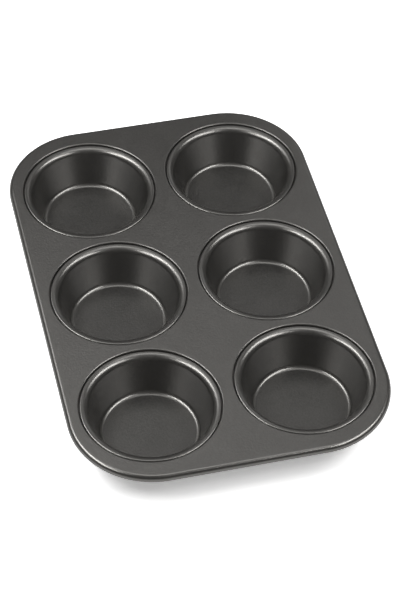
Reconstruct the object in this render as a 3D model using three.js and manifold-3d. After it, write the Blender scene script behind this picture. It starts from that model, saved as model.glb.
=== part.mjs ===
// Six-cup muffin pan in coated sheet steel: a flat deck with a rolled rim, a wire inside that rim,
// and six drawn cups. Each cup is locked to the deck by a folded seam below the deck's edge.
// Millimetres, +Z up. The origin lies under the middle of the deck, on the plane that the cups stand on.
import * as THREE from 'three';
import { mergeVertices } from 'three/addons/utils/BufferGeometryUtils.js';
import Module from 'manifold-3d';

const wasm = await Module();
wasm.setup();

// Layout of the cups, front row first
const rowNames = ['front', 'middle', 'back'];
const columnNames = ['left', 'right'];
const columnGap = 4.1; // between the seams of neighbouring cups, across the pan
const rowGap = 1.4; // between the seams of neighbouring cups, along the pan
const sideGap = 0.35; // between a seam and the rolled rim at the long sides
const endGap = 4.05; // between a seam and the rolled rim at the two ends

// Sheet and seams
const sheetThickness = 0.4; // deck and cups
const seamGap = 0.25; // between two sheets that are folded together
const lipReach = 1.1; // the deck's turned-out lip, past its collar
const foldReach = 0.6; // the cup's folded edge, over that lip

// Cups
const panHeight = 24; // underside of the cups to the top of the deck
const mouthRadius = 39.3; // inner face of the deck's collar
const mouthBend = 0.9; // rounded edge of the deck at a mouth
const grooveWidth = 0.3; // open groove between the deck's collar and the cup's ledge
const ledgeDrop = 0.6; // top of the deck down to the cup's ledge
const ledgeWidth = 4; // from the edge of the ledge to the line of the wall
const ledgeBend = 0.9; // rounded outer edge of the ledge
const shoulderRadius = 4.1; // ledge into wall
const floorRadius = 27.4; // where the line of the wall meets the floor
const floorFillet = 3; // floor into wall

// Rim
const rimDiameter = 5.2; // outside of the roll
const rimSweep = THREE.MathUtils.degToRad(240); // from the top of the deck round to the free edge
const wireGap = 0.25; // between the wire and the inside of the roll

// Facets
const cupSegments = 24; // round a cup
const cornerSegments = 6; // round one corner of the rim
const rollSegments = 8; // round the rolled edge
const wireSides = 8; // round the wire
const bendSegments = 2; // in a bend or fillet
const joinOverlap = 0.5; // flat strip by which a collar and the rim overlap the plate they join

// Heights
const deckTop = panHeight;
const foldFace = deckTop - 2 * sheetThickness - seamGap; // underside of the cup's folded edge
const lipFace = foldFace - seamGap - sheetThickness; // underside of the deck's lip
const runFace = lipFace - seamGap; // top of the cup's sheet below that lip
const ledgeTop = deckTop - ledgeDrop;
const floorTop = sheetThickness;

// Radii about a cup's axis
const collarRadius = mouthRadius + sheetThickness; // outer face of the collar
const lipRadius = collarRadius + lipReach;
const hookRadius = lipRadius + seamGap; // inside of the cup's turned-up edge
const seamRadius = hookRadius + sheetThickness;
const ledgeRadius = mouthRadius - grooveWidth;
const wallTopRadius = ledgeRadius - ledgeWidth;
const plateHoleRadius = mouthRadius + mouthBend;

// Places and outline
const columnPitch = 2 * seamRadius + columnGap;
const rowPitch = 2 * seamRadius + rowGap;
const rimRadius = rimDiameter / 2;
const cornerRadius = seamRadius + sideGap + rimDiameter; // the corners are struck about the cups' own axes
const cornerX = columnPitch * (columnNames.length - 1) / 2;
const cornerY = rowPitch * (rowNames.length - 1) / 2 + endGap - sideGap;
const rollRadius = cornerRadius - rimRadius; // middle of the roll, about a corner's centre
const wireRadius = rimRadius - sheetThickness - wireGap;

// A path of straight runs whose inner corners are rounded; each corner is [x, y, radius].
function roundedPath(corners) {
  const points = [];
  corners.forEach(([x, y, radius], index) => {
    const corner = new THREE.Vector2(x, y);
    if (!radius) {
      points.push(corner);
      return;
    }
    const towards = (other) => new THREE.Vector2(other[0], other[1]).sub(corner).normalize();
    const back = towards(corners[index - 1]);
    const ahead = towards(corners[index + 1]);
    const halfAngle = Math.acos(back.dot(ahead)) / 2;
    const middle = back.clone().add(ahead).normalize();
    const centre = middle.multiplyScalar(radius / Math.sin(halfAngle)).add(corner);
    const reach = radius / Math.tan(halfAngle);
    const from = back.multiplyScalar(reach).add(corner).sub(centre);
    const to = ahead.multiplyScalar(reach).add(corner).sub(centre);
    const turn = Math.atan2(from.cross(to), from.dot(to));
    for (let step = 0; step <= bendSegments; step += 1) {
      const spoke = from.clone().rotateAround(new THREE.Vector2(), turn * step / bendSegments);
      points.push(spoke.add(centre));
    }
  });
  return points;
}

// The closed section of a sheet whose one face follows a path; the other face lies to the path's
// right, or to its left where the side is negative.
function sheetSection(path, side) {
  const normals = path.slice(1).map((point, index) => {
    const run = point.clone().sub(path[index]).normalize();
    return new THREE.Vector2(run.y, -run.x).multiplyScalar(side);
  });
  const otherFace = path.map((point, index) => {
    const before = normals[Math.max(index - 1, 0)];
    const after = normals[Math.min(index, normals.length - 1)];
    const mitre = before.clone().add(after);
    return mitre.multiplyScalar(2 * sheetThickness / mitre.lengthSq()).add(point);
  });
  const section = [...path, ...otherFace.reverse()];
  return side > 0 ? section.reverse() : section;
}

// Turns a section about the vertical axis.
function turned(section, segments) {
  const geometry = new THREE.LatheGeometry(section, segments);
  return geometry.rotateX(Math.PI / 2);
}

// Carries a section round the pan's outline: a turned ring is pulled apart into its four quarters,
// which move to the four corners, and the faces between them become the straight sides.
function aroundPan(section) {
  const columnsPerCorner = cornerSegments + 1;
  const closed = [...section, section[0]];
  const geometry = new THREE.LatheGeometry(closed, 4 * columnsPerCorner);
  const position = geometry.attributes.position;
  for (let index = 0; index < position.count; index += 1) {
    const column = Math.floor(index / closed.length);
    const point = closed[index % closed.length];
    const corner = Math.floor(column / columnsPerCorner) % 4;
    const step = column % columnsPerCorner;
    const angle = (corner + step / cornerSegments) * Math.PI / 2;
    const sideX = corner < 2 ? 1 : -1;
    const sideZ = corner === 0 || corner === 3 ? 1 : -1;
    const x = sideX * cornerX + point.x * Math.sin(angle);
    const z = sideZ * cornerY + point.x * Math.cos(angle);
    position.setXYZ(index, x, point.y, z);
  }
  return geometry.rotateX(Math.PI / 2);
}

// A closed geometry as a solid that can be joined to others.
function solidOf(geometry) {
  const plain = geometry.clone();
  plain.deleteAttribute('normal');
  plain.deleteAttribute('uv');
  const merged = mergeVertices(plain);
  const vertProperties = merged.attributes.position.array;
  const triVerts = Uint32Array.from(merged.index.array);
  return new wasm.Manifold(new wasm.Mesh({ numProp: 3, vertProperties, triVerts }));
}

function geometryOf(solid) {
  const mesh = solid.getMesh();
  const geometry = new THREE.BufferGeometry();
  geometry.setAttribute('position', new THREE.BufferAttribute(mesh.vertProperties, 3));
  geometry.setIndex(new THREE.BufferAttribute(mesh.triVerts, 1));
  geometry.computeVertexNormals();
  return geometry;
}

function cupPlaces() {
  const places = [];
  rowNames.forEach((rowName, row) => {
    columnNames.forEach((columnName, column) => {
      places.push({
        name: `cup_${rowName}_${columnName}`,
        x: (column - (columnNames.length - 1) / 2) * columnPitch,
        y: (row - (rowNames.length - 1) / 2) * rowPitch,
      });
    });
  });
  return places;
}

// Flat plate with a hole for each cup, up to where the rim starts to roll.
function plateGeometry() {
  const outline = [];
  for (let corner = 0; corner < 4; corner += 1) {
    const sideX = corner === 0 || corner === 3 ? 1 : -1;
    const sideY = corner < 2 ? 1 : -1;
    for (let step = 0; step <= cornerSegments; step += 1) {
      const angle = (corner + step / cornerSegments) * Math.PI / 2;
      const x = sideX * cornerX + rollRadius * Math.cos(angle);
      const y = sideY * cornerY + rollRadius * Math.sin(angle);
      outline.push(new THREE.Vector2(x, y));
    }
  }
  const shape = new THREE.Shape(outline);
  shape.holes = cupPlaces().map((place) => {
    const hole = [];
    for (let step = 0; step < cupSegments; step += 1) {
      const angle = step * 2 * Math.PI / cupSegments;
      const x = place.x + plateHoleRadius * Math.cos(angle);
      const y = place.y + plateHoleRadius * Math.sin(angle);
      hole.push(new THREE.Vector2(x, y));
    }
    return new THREE.Path(hole);
  });
  const geometry = new THREE.ExtrudeGeometry(shape, { depth: sheetThickness, bevelEnabled: false });
  return geometry.translate(0, 0, deckTop - sheetThickness);
}

// Edge of a mouth: the deck bends down into a collar and ends in a lip turned outwards.
function collarGeometry() {
  const path = roundedPath([
    [plateHoleRadius + joinOverlap, deckTop],
    [mouthRadius, deckTop, mouthBend],
    [mouthRadius, lipFace],
    [lipRadius, lipFace],
  ]);
  const section = sheetSection(path, -1);
  return turned([...section, section[0]], cupSegments);
}

// Rolled edge: the deck runs over the top of the wire, round it and up inside.
function rollGeometry() {
  const centre = new THREE.Vector2(rollRadius, deckTop - rimRadius);
  const path = [new THREE.Vector2(rollRadius - joinOverlap, deckTop)];
  for (let step = 0; step <= rollSegments; step += 1) {
    const angle = rimSweep * step / rollSegments;
    const spoke = new THREE.Vector2(Math.sin(angle), Math.cos(angle)).multiplyScalar(rimRadius);
    path.push(spoke.add(centre));
  }
  return aroundPan(sheetSection(path, 1));
}

function deckGeometry() {
  const collar = solidOf(collarGeometry());
  let deck = solidOf(plateGeometry()).add(solidOf(rollGeometry()));
  cupPlaces().forEach((place) => {
    deck = deck.add(collar.translate([place.x, place.y, 0]));
  });
  return geometryOf(deck);
}

function wireGeometry() {
  const section = [];
  for (let step = 0; step < wireSides; step += 1) {
    const angle = (step + 0.5) * 2 * Math.PI / wireSides;
    const x = rollRadius + wireRadius * Math.cos(angle);
    const y = deckTop - rimRadius + wireRadius * Math.sin(angle);
    section.push(new THREE.Vector2(x, y));
  }
  return aroundPan(section);
}

// A cup in one drawn sheet: floor, tapered wall, shoulder and ledge, then the edge goes down beside
// the deck's collar, out below its lip, up, and back in over the lip.
function cupGeometry() {
  const path = roundedPath([
    [0, floorTop],
    [floorRadius, floorTop, floorFillet],
    [wallTopRadius, ledgeTop, shoulderRadius],
    [ledgeRadius, ledgeTop, ledgeBend],
    [ledgeRadius, runFace],
    [hookRadius, runFace],
    [hookRadius, foldFace],
    [lipRadius - foldReach, foldFace],
  ]);
  return turned(sheetSection(path, 1), cupSegments);
}

const coatedSteel = { color: 0x4b4a48, roughness: 0.45, metalness: 0.6 };
const bareWire = { color: 0x8f8f8d, roughness: 0.4, metalness: 1 };

function namedMesh(name, geometry, finish) {
  const mesh = new THREE.Mesh(geometry, new THREE.MeshStandardMaterial(finish));
  mesh.name = name;
  return mesh;
}

const pan = new THREE.Group();
pan.add(namedMesh('deck_plate', deckGeometry(), coatedSteel));
pan.add(namedMesh('rim_wire', wireGeometry(), bareWire));
cupPlaces().forEach((place) => {
  const cup = namedMesh(place.name, cupGeometry(), coatedSteel);
  cup.position.set(place.x, place.y, 0);
  pan.add(cup);
});

export default pan;
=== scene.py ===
import math

import bmesh
import bpy
from mathutils import Matrix, Vector


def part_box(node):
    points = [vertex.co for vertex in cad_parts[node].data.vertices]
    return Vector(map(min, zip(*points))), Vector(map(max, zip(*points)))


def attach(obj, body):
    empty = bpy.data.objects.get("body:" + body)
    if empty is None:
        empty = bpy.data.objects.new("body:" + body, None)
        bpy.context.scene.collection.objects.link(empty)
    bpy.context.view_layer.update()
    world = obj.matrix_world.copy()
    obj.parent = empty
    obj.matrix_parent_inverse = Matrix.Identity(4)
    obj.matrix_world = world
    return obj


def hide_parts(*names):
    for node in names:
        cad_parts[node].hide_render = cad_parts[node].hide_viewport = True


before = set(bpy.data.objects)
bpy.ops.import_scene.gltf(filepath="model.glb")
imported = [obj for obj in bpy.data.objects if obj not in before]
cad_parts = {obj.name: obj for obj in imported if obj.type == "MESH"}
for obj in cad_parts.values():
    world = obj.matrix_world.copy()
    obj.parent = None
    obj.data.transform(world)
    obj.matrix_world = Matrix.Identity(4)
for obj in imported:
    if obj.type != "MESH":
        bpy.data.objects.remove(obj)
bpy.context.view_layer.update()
scene = bpy.context.scene
scene.view_settings.view_transform = "Standard"
mm = 0.001
mergeReach = 0.001 * mm  # points closer than this are one
print("frame loaded with", len(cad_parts), "nodes")

# viewpoint of the photograph
viewpoint = {
    "target": (0.75 * mm, -16.2 * mm, 24 * mm),  # where the lens points, on top of the deck
    "azimuth": -14.755,
    "elevation": 48.036,
    "roll": 1.813,
    "distance": 1.2005,
    "lens": 126.2,
}


def setCamera(v):
    azimuth, elevation, roll = (math.radians(v[k]) for k in ("azimuth", "elevation", "roll"))
    back = Vector((math.sin(azimuth) * math.cos(elevation),
                   -math.cos(azimuth) * math.cos(elevation),
                   math.sin(elevation)))
    side = Vector((math.cos(azimuth), math.sin(azimuth), 0))
    tilted = side * math.cos(roll) + back.cross(side) * math.sin(roll)
    data = bpy.data.cameras.new("camera")
    data.lens = v["lens"]
    camera = bpy.data.objects.new("camera", data)
    turn = Matrix((tilted, back.cross(tilted), back)).transposed().to_4x4()
    camera.matrix_world = Matrix.Translation(Vector(v["target"]) + back * v["distance"]) @ turn
    scene.collection.objects.link(camera)
    scene.camera = camera


setCamera(viewpoint)
print("camera placed")


def addNode(tree, kind, settings=None, **inputs):
    node = tree.nodes.new(kind)
    for name, value in (settings or {}).items():
        setattr(node, name, value)
    for name, value in inputs.items():
        socket = node.inputs[name.replace("_", " ")]
        if isinstance(value, bpy.types.NodeSocket):
            tree.links.new(value, socket)
        else:
            socket.default_value = value
    return node


noiseSpan = (0.3, 0.7)  # where nearly all of a noise texture lies


def spread(tree, value, fromRange, toRange):
    node = addNode(tree, "ShaderNodeMapRange", Value=value,
                   From_Min=fromRange[0], From_Max=fromRange[1],
                   To_Min=toRange[0], To_Max=toRange[1])
    return node.outputs["Result"]


def startMaterial(name):
    material = bpy.data.materials.new(name)
    material.use_nodes = True
    tree = material.node_tree
    place = tree.nodes.new("ShaderNodeTexCoord").outputs["Object"]
    return material, tree, tree.nodes["Principled BSDF"], place


# dark non-stick coating: a satin film with fine metal flake and a slight orange peel
coatingLook = {
    "darkTone": (0.0105, 0.0102, 0.0098, 1),
    "paleTone": (0.0175, 0.0171, 0.0164, 1),
    "cloudScale": 70.0,  # soft patches of tone, of a centimetre and less
    "flakeScale": 1300.0,  # flakes of under a millimetre
    "flakeTone": 0.6,  # how far a single flake stands out
    "peelScale": 780.0,  # orange peel of a little over a millimetre
    "tint": (1, 0.975, 0.93, 1),  # of its reflections
    "deck": {"tone": 1.0, "refraction": 2.28, "roughness": (0.29, 0.35),
             "peelHeight": 0.1 * mm, "lines": 0.0},
    "bends": {"tone": 1.0, "refraction": 2.28, "roughness": (0.28, 0.32),
              "peelHeight": 0.006 * mm, "lines": 0.0},
    # the floor's lower tone is a painted shade at the bottom of the cups
    "floor": {"tone": 0.9, "refraction": 1.9, "roughness": (0.3, 0.36),
              "peelHeight": 0.1 * mm, "lines": 0.0},
    # the walls are drawn, with faint lines round them; their lower tone is a painted shade inside the
    # cups
    "wall": {"tone": 0.65, "refraction": 2.28, "roughness": (0.35, 0.39),
             "peelHeight": 0.04 * mm, "lines": 0.91},
    "linesTurn": 0.25,  # a quarter turn, so that the sheen runs up the wall
}


def makeCoating(look, place):
    material, tree, shader, at = startMaterial(place + "Coating")
    own = look[place]
    cloud = addNode(tree, "ShaderNodeTexNoise", Vector=at, Scale=look["cloudScale"], Detail=4.0)
    drift = spread(tree, cloud.outputs["Fac"], noiseSpan, (0, 1))
    tone = addNode(tree, "ShaderNodeMixRGB", Fac=drift, Color1=look["darkTone"], Color2=look["paleTone"])
    flake = addNode(tree, "ShaderNodeTexVoronoi", Vector=at, Scale=look["flakeScale"])
    low, high = own["tone"] * (1 - look["flakeTone"]), own["tone"] * (1 + look["flakeTone"])
    single = spread(tree, flake.outputs["Color"], (0, 1), (low, high))
    flaked = addNode(tree, "ShaderNodeVectorMath", {"operation": "SCALE"},
                     Vector=tone.outputs["Color"], Scale=single)
    peel = addNode(tree, "ShaderNodeTexNoise", Vector=at, Scale=look["peelScale"], Detail=2.0)
    bump = addNode(tree, "ShaderNodeBump", Height=peel.outputs["Fac"], Distance=own["peelHeight"])
    gloss = spread(tree, peel.outputs["Fac"], noiseSpan, own["roughness"])
    tree.links.new(flaked.outputs["Vector"], shader.inputs["Base Color"])
    tree.links.new(gloss, shader.inputs["Roughness"])
    tree.links.new(bump.outputs["Normal"], shader.inputs["Normal"])
    shader.inputs["IOR"].default_value = own["refraction"]
    shader.inputs["Specular Tint"].default_value = look["tint"]
    shader.inputs["Anisotropic"].default_value = own["lines"]
    shader.inputs["Anisotropic Rotation"].default_value = look["linesTurn"]
    return material


# bare drawn wire inside the rim
wireLook = {
    "darkTone": (0.36, 0.36, 0.35, 1),
    "paleTone": (0.52, 0.52, 0.51, 1),
    "drawScale": 420.0,
    "drawHeight": 0.01 * mm,
    "roughness": (0.28, 0.46),
}


def makeWireSteel(look):
    material, tree, shader, place = startMaterial("wireSteel")
    drawn = addNode(tree, "ShaderNodeTexNoise", Vector=place, Scale=look["drawScale"], Detail=5.0)
    tone = addNode(tree, "ShaderNodeMixRGB", Fac=drawn.outputs["Fac"],
                   Color1=look["darkTone"], Color2=look["paleTone"])
    bump = addNode(tree, "ShaderNodeBump", Height=drawn.outputs["Fac"], Distance=look["drawHeight"])
    gloss = spread(tree, drawn.outputs["Fac"], noiseSpan, look["roughness"])
    tree.links.new(tone.outputs["Color"], shader.inputs["Base Color"])
    tree.links.new(gloss, shader.inputs["Roughness"])
    tree.links.new(bump.outputs["Normal"], shader.inputs["Normal"])
    shader.inputs["Metallic"].default_value = 1.0
    return material


coatings = {place: makeCoating(coatingLook, place) for place in ("deck", "bends", "wall", "floor")}
wireSteel = makeWireSteel(wireLook)
print("finishes mixed")

# the sheet and the folded seam that locks each cup to the deck
seam = {
    "sheet": 0.4 * mm,
    "gap": 0.25 * mm,  # between two sheets folded together
    "groove": 0.3 * mm,  # open groove between a cup's ledge and the deck's collar
    "lipReach": 1.1 * mm,  # deck's turned-out lip, past its collar
    "foldReach": 0.6 * mm,  # cup's folded edge, over that lip
    "crease": 0.12 * mm,  # inside of a tight fold
    "bendSteps": 8,
}

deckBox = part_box("deck_plate")
deckTop = deckBox[1].z
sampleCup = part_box("cup_front_right")
seamRadius = (sampleCup[1].x - sampleCup[0].x) / 2
lipRadius = seamRadius - seam["sheet"] - seam["gap"]
mouthRadius = lipRadius - seam["lipReach"] - seam["sheet"]
foldFace = deckTop - 2 * seam["sheet"] - seam["gap"]  # underside of the cup's folded edge
lipFace = foldFace - seam["gap"] - seam["sheet"]  # underside of the deck's lip


def drawSection(bm, corners, steps):
    # straight runs in the XZ plane; a corner's third number is its bend, a point spun about a centre
    points = [Vector((corner[0], 0, corner[1])) for corner in corners]
    tip = bm.verts.new(points[0])
    drawn = [tip]

    def runTo(point):
        made = bmesh.ops.extrude_vert_indiv(bm, verts=[drawn[-1]])["verts"]
        bmesh.ops.translate(bm, verts=made, vec=point - drawn[-1].co)
        drawn.extend(made)

    for before, corner, after, bend in zip(points, points[1:], points[2:], corners[1:]):
        if len(bend) == 2:
            runTo(corner)
            continue
        arrive = (corner - before).normalized()
        leave = (after - corner).normalized()
        turn = arrive.angle(leave)
        reach = bend[2] * math.tan(turn / 2)
        runTo(corner - arrive * reach)
        inward = (leave - arrive).normalized()
        centre = corner + inward * (bend[2] / math.cos(turn / 2))
        made = bmesh.ops.spin(bm, geom=[drawn[-1]], cent=centre, axis=arrive.cross(leave),
                              angle=turn, steps=steps, use_merge=False, use_duplicate=False)
        drawn.append([v for v in made["geom_last"] if isinstance(v, bmesh.types.BMVert)][0])
    runTo(points[-1])
    return [v for v in bm.verts if len(v.link_faces) == 0]


def withEdges(verts):
    return list(verts) + list({edge for v in verts for edge in v.link_edges})


def spinRound(bm, verts, centre, steps):
    bmesh.ops.spin(bm, geom=withEdges(verts), cent=centre, axis=(0, 0, 1), angle=2 * math.pi,
                   steps=steps, use_merge=True, use_duplicate=False)


def faceUpwards(bm):
    # one side of the whole sheet is its show side: the one that is up where the sheet lies flat
    bmesh.ops.remove_doubles(bm, verts=bm.verts[:], dist=mergeReach)
    bmesh.ops.recalc_face_normals(bm, faces=bm.faces[:])
    widest = max(bm.faces, key=lambda face: face.calc_area() * abs(face.normal.z))
    if widest.normal.z < 0:
        bmesh.ops.reverse_faces(bm, faces=bm.faces[:])


def addPiece(name, bm, finishes, node, thickness=0.0):
    mesh = bpy.data.meshes.new(name)
    bm.to_mesh(mesh)
    bm.free()
    mesh.shade_smooth()
    for finish in finishes:
        mesh.materials.append(finish)
    piece = bpy.data.objects.new(name, mesh)
    scene.collection.objects.link(piece)
    if thickness:
        wall = piece.modifiers.new("sheet", "SOLIDIFY")
        wall.thickness = thickness
        wall.offset = -1
        wall.use_even_offset = True
    shading = piece.modifiers.new("flatsStayFlat", "WEIGHTED_NORMAL")
    shading.weight = 80
    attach(piece, "root")
    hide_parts(node)
    return piece


# a drawn cup: floor, tapered wall, shoulder, ledge, then its folded edge in the seam
cup = {
    "steps": 144,  # round the mouth
    "ledgeDrop": 0.6 * mm,
    "ledgeWidth": 4.0 * mm,  # from the ledge's outer edge to the line of the wall
    "ledgeBend": 0.9 * mm,
    "shoulder": 4.1 * mm,
    "floorRadius": 27.4 * mm,  # where the line of the wall meets the floor
    "floorFillet": 3.0 * mm,
    "floorFinish": 0.2 * mm,  # the floor's finish, with its painted shade, goes this far up the fillet
}


def makeCup(node):
    low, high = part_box(node)
    floorTop = low.z + seam["sheet"]
    ledgeTop = deckTop - cup["ledgeDrop"]
    ledgeRadius = mouthRadius - seam["groove"]
    runFace = lipFace - seam["gap"]
    hookRadius = lipRadius + seam["gap"]
    crease = seam["crease"]
    bm = bmesh.new()
    section = drawSection(bm, [
        (0, floorTop),
        (cup["floorRadius"], floorTop, cup["floorFillet"]),
        (ledgeRadius - cup["ledgeWidth"], ledgeTop, cup["shoulder"]),
        (ledgeRadius, ledgeTop, cup["ledgeBend"]),
        (ledgeRadius, runFace, crease),
        (hookRadius, runFace, crease),
        (hookRadius, foldFace, crease),
        (lipRadius - seam["foldReach"], foldFace),
    ], seam["bendSteps"])
    spinRound(bm, section, (0, 0, 0), cup["steps"])
    faceUpwards(bm)
    for face in bm.faces:
        heights = [v.co.z for v in face.verts]
        if max(heights) - min(heights) > (high.z - low.z) / 3:
            face.material_index = 1  # the tapered wall, with its painted shade
        elif max(heights) < floorTop + cup["floorFinish"]:
            face.material_index = 2  # the floor, with its painted shade
    bmesh.ops.translate(bm, verts=bm.verts[:], vec=((low.x + high.x) / 2, (low.y + high.y) / 2, 0))
    name = node.title().replace("_", "")
    finishes = [coatings["bends"], coatings["wall"], coatings["floor"]]
    return addPiece(name, bm, finishes, node, seam["sheet"])


cupNodes = sorted(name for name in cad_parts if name.startswith("cup_"))
for node in cupNodes:
    makeCup(node)
print(len(cupNodes), "cups drawn")

# the rolled rim and the wire that it is rolled around
rim = {
    "diameter": deckBox[1].z - deckBox[0].z,
    "sweep": math.radians(240),
    "rollSteps": 40,
    "cornerSteps": 32,
    "wireGap": 0.25 * mm,
    "wireSides": 32,
    "flat": 0.8 * mm,  # narrow flat strip beside each bend
}
rimRadius = rim["diameter"] / 2
cornerX = (sampleCup[0].x + sampleCup[1].x) / 2  # corners are struck about the cups' own axes
cornerRadius = deckBox[1].x - cornerX
cornerY = deckBox[1].y - cornerRadius
rollRadius = cornerRadius - rimRadius  # middle of the roll, about a corner's centre
rollHeight = deckTop - rimRadius


def sweepAroundPan(bm, verts):
    # the section starts at the front end of the right side, then goes along a side and round a corner
    bmesh.ops.translate(bm, verts=verts, vec=(cornerX, -cornerY, 0))
    last = withEdges(verts)
    centres = [(cornerX, cornerY), (-cornerX, cornerY), (-cornerX, -cornerY), (cornerX, -cornerY)]
    for index, centre in enumerate(centres):
        before = Vector((*centres[index - 1], 0))
        centre = Vector((*centre, 0))
        edges = [item for item in last if isinstance(item, bmesh.types.BMEdge)]
        made = bmesh.ops.extrude_edge_only(bm, edges=edges)["geom"]
        newVerts = [item for item in made if isinstance(item, bmesh.types.BMVert)]
        newEdges = [item for item in made if isinstance(item, bmesh.types.BMEdge)
                    and item.verts[0] in newVerts and item.verts[1] in newVerts]
        bmesh.ops.translate(bm, verts=newVerts, vec=centre - before)
        last = bmesh.ops.spin(bm, geom=newVerts + newEdges, cent=centre, axis=(0, 0, 1),
                              angle=math.pi / 2, steps=rim["cornerSteps"],
                              use_merge=False, use_duplicate=False)["geom_last"]
    bmesh.ops.remove_doubles(bm, verts=bm.verts[:], dist=mergeReach)


# the deck: rolled rim, a collar at each mouth, and the flat sheet between them
deck = {
    "mouthSteps": 144,
    "mouthBend": 0.9 * mm,
}


def makeDeck():
    bm = bmesh.new()
    start = [bm.verts.new((x, 0, deckTop)) for x in (rollRadius - rim["flat"], rollRadius)]
    bm.edges.new(start)
    bmesh.ops.spin(bm, geom=[start[1]], cent=(rollRadius, 0, rollHeight), axis=(0, 1, 0),
                   angle=rim["sweep"], steps=rim["rollSteps"], use_merge=False, use_duplicate=False)
    sweepAroundPan(bm, bm.verts[:])
    for node in cupNodes:
        low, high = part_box(node)
        collar = drawSection(bm, [
            (mouthRadius + deck["mouthBend"] + rim["flat"], deckTop),
            (mouthRadius, deckTop, deck["mouthBend"]),
            (mouthRadius, lipFace, seam["sheet"] + seam["crease"]),
            (lipRadius, lipFace),
        ], seam["bendSteps"])
        centre = Vector(((low.x + high.x) / 2, (low.y + high.y) / 2, 0))
        bmesh.ops.translate(bm, verts=collar, vec=centre)
        spinRound(bm, collar, centre, deck["mouthSteps"])
    bmesh.ops.remove_doubles(bm, verts=bm.verts[:], dist=mergeReach)
    level = deckTop - 0.01 * mm
    rims = [edge for edge in bm.edges
            if edge.is_boundary and edge.verts[0].co.z > level and edge.verts[1].co.z > level]
    bmesh.ops.triangle_fill(bm, edges=rims, use_beauty=True, use_dissolve=False, normal=(0, 0, 1))
    faceUpwards(bm)
    for face in bm.faces:
        face.material_index = int(min(v.co.z for v in face.verts) < level)  # the roll and the collars
    finishes = [coatings["deck"], coatings["bends"]]
    return addPiece("DeckPlate", bm, finishes, "deck_plate", seam["sheet"])


def makeWire():
    radius = rimRadius - seam["sheet"] - rim["wireGap"]
    bm = bmesh.new()
    turn = Matrix.Translation((rollRadius, 0, rollHeight)) @ Matrix.Rotation(math.pi / 2, 4, "X")
    bmesh.ops.create_circle(bm, segments=rim["wireSides"], radius=radius, matrix=turn)
    sweepAroundPan(bm, bm.verts[:])
    bmesh.ops.recalc_face_normals(bm, faces=bm.faces[:])
    return addPiece("RimWire", bm, [wireSteel], "rim_wire")


makeDeck()
makeWire()
print("deck and rim wire made")

# pale floor: it takes the shadow, and is white where nothing shades it
floorLook = {
    "reach": 6.0,
    "tone": (0.55, 0.55, 0.55, 1),
    "lift": 0.34,  # added where the floor is seen, directly or in a reflection
    "gain": 1.6,  # the camera sees the paper burnt out to white
}


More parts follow.
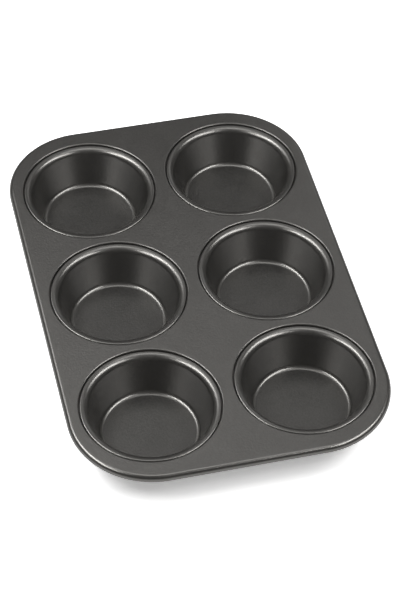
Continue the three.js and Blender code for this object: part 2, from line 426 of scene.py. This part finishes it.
def makeFloor(look):
    bm = bmesh.new()
    bmesh.ops.create_grid(bm, x_segments=1, y_segments=1, size=look["reach"])
    mesh = bpy.data.meshes.new("floor")
    bm.to_mesh(mesh)
    bm.free()
    floor = bpy.data.objects.new("floor", mesh)
    scene.collection.objects.link(floor)
    material = bpy.data.materials.new("paleFloor")
    material.use_nodes = True
    tree = material.node_tree
    tree.nodes.clear()
    path = tree.nodes.new("ShaderNodeLightPath").outputs
    seen = addNode(tree, "ShaderNodeMath", {"operation": "MAXIMUM"})
    tree.links.new(path["Is Camera Ray"], seen.inputs[0])
    tree.links.new(path["Is Glossy Ray"], seen.inputs[1])
    seenToo = addNode(tree, "ShaderNodeMath", {"operation": "MAXIMUM"})
    tree.links.new(seen.outputs[0], seenToo.inputs[0])
    tree.links.new(path["Is Transmission Ray"], seenToo.inputs[1])
    lift = addNode(tree, "ShaderNodeMath", {"operation": "MULTIPLY"})
    tree.links.new(seenToo.outputs[0], lift.inputs[0])
    lift.inputs[1].default_value = look["lift"]
    gain = addNode(tree, "ShaderNodeMath", {"operation": "MULTIPLY_ADD"})
    tree.links.new(path["Is Camera Ray"], gain.inputs[0])
    gain.inputs[1].default_value = look["gain"]
    gain.inputs[2].default_value = 1.0
    tone = addNode(tree, "ShaderNodeVectorMath", {"operation": "SCALE"},
                   Vector=look["tone"][:3], Scale=gain.outputs[0])
    paint = addNode(tree, "ShaderNodeBsdfDiffuse", Color=tone.outputs["Vector"])
    glow = addNode(tree, "ShaderNodeEmission", Strength=lift.outputs[0])
    both = tree.nodes.new("ShaderNodeAddShader")
    tree.links.new(paint.outputs[0], both.inputs[0])
    tree.links.new(glow.outputs[0], both.inputs[1])
    clear = tree.nodes.new("ShaderNodeBsdfTransparent")
    side = tree.nodes.new("ShaderNodeNewGeometry").outputs["Backfacing"]
    sheet = addNode(tree, "ShaderNodeMixShader", Fac=side)
    tree.links.new(both.outputs[0], sheet.inputs[1])
    tree.links.new(clear.outputs[0], sheet.inputs[2])
    tree.links.new(sheet.outputs[0], tree.nodes.new("ShaderNodeOutputMaterial").inputs["Surface"])
    mesh.materials.append(material)


# soft studio light: a long box each side, small ones behind them, one overhead, a dim panel at the back
lamps = {
    "leftKey": {"at": (-0.568, 0.098, 0.82), "size": (0.85, 0.18), "power": 6.83},
    "leftBack": {"at": (-0.308, 0.598, 0.75), "size": (0.3, 0.22), "power": 0.58},
    "rightKey": {"at": (0.54, -0.266, 0.8), "size": (0.8, 0.25), "power": 5.53},
    "rightBack": {"at": (0.507, 0.746, 0.62), "size": (0.3, 0.22), "power": 0.25},
    "overhead": {"at": (0.025, 0.097, 0.95), "size": (0.6, 0.35), "power": 1.42},
    "backPanel": {"at": (-0.003, 0.538, 0.8), "size": (0.8, 0.28), "power": 0.39},
}
ambient = {"tone": (1.0, 0.98, 0.95, 1), "strength": 0.11}


def makeLamp(name, lamp):
    data = bpy.data.lights.new(name, "AREA")
    data.shape = "RECTANGLE"
    data.size, data.size_y = lamp["size"]
    data.energy = lamp["power"]
    light = bpy.data.objects.new(name, data)
    light.location = lamp["at"]
    light.visible_camera = False
    light.rotation_euler = (-Vector(lamp["at"])).to_track_quat("-Z", "Y").to_euler()
    scene.collection.objects.link(light)


makeFloor(floorLook)
for name, lamp in lamps.items():
    makeLamp(name, lamp)
scene.world = bpy.data.worlds.new("studio")
scene.world.use_nodes = True
background = scene.world.node_tree.nodes["Background"]
background.inputs["Color"].default_value = ambient["tone"]
background.inputs["Strength"].default_value = ambient["strength"]
print("floor and lamps set")
